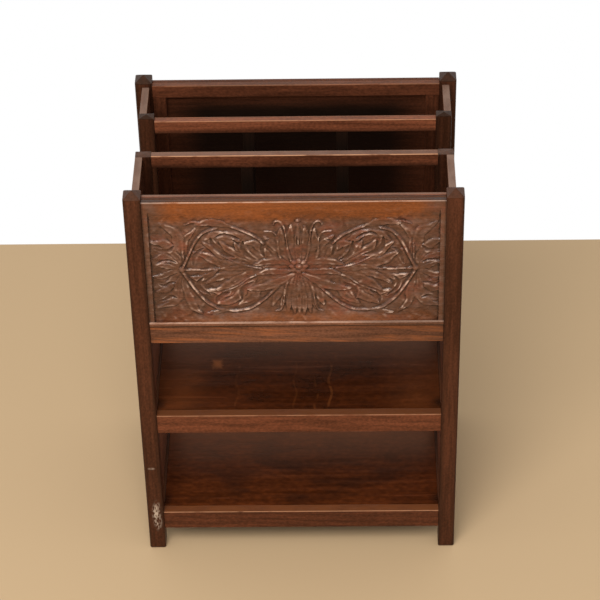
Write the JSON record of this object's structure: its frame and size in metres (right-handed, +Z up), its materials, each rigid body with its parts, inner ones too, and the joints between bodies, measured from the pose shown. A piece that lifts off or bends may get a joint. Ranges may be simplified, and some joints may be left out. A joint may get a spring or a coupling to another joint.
{
  "type": "magazine stand",
  "caption": "Floor-standing dark oak magazine stand with a carved front panel, open dividers that part the magazine bays, and open shelves below.",
  "frame": {"origin": "middle of the stand's footprint, on the floor", "axes": "+X to the right of the carved front, +Y to the back, +Z up; the carved panel faces -Y"},
  "size_m": [0.43, 0.279, 0.6273],
  "materials": {
    "post_oak": "dark stained, waxed",
    "rail_oak": "stained, waxed, worn at the edges",
    "carved_oak": "stained, waxed, carved",
    "inner_oak": "dark stained, dull",
    "shelf_oak": "stained, waxed"
  },
  "bodies": {
    "root": {"front_left_post": "post_oak", "front_right_post": "post_oak", "back_left_post": "post_oak", "back_right_post": "post_oak", "magazine_front_rail": "rail_oak", "magazine_back_rail": "rail_oak", "magazine_left_rail": "rail_oak", "magazine_right_rail": "rail_oak", "middle_front_rail": "rail_oak", "middle_back_rail": "rail_oak", "middle_left_rail": "rail_oak", "middle_right_rail": "rail_oak", "bottom_front_rail": "rail_oak", "bottom_back_rail": "rail_oak", "bottom_left_rail": "rail_oak", "bottom_right_rail": "rail_oak", "magazine_floor_board": "shelf_oak", "middle_shelf_board": "shelf_oak", "bottom_shelf_board": "shelf_oak", "front_left_side_board": "inner_oak", "front_right_side_board": "inner_oak", "back_left_side_board": "inner_oak", "back_right_side_board": "inner_oak", "middle_left_side_board": "inner_oak", "middle_right_side_board": "inner_oak", "bottom_left_side_board": "inner_oak", "bottom_right_side_board": "inner_oak", "front_divider_left_upright": "post_oak", "front_divider_right_upright": "post_oak", "back_divider_left_upright": "post_oak", "back_divider_right_upright": "post_oak", "front_divider_top_rail": "rail_oak", "back_divider_top_rail": "rail_oak", "front_divider_slat_1": "inner_oak", "front_divider_slat_2": "inner_oak", "back_divider_slat_1": "inner_oak", "back_divider_slat_2": "inner_oak", "carved_front_panel": "carved_oak", "back_panel": "inner_oak", "front_inner_top_rail": "rail_oak", "front_inner_left_stile": "inner_oak", "front_inner_right_stile": "inner_oak", "back_inner_top_rail": "rail_oak", "back_inner_left_stile": "inner_oak", "back_inner_right_stile": "inner_oak", "front_panel_bead": "rail_oak"}
  },
  "joints": []
}
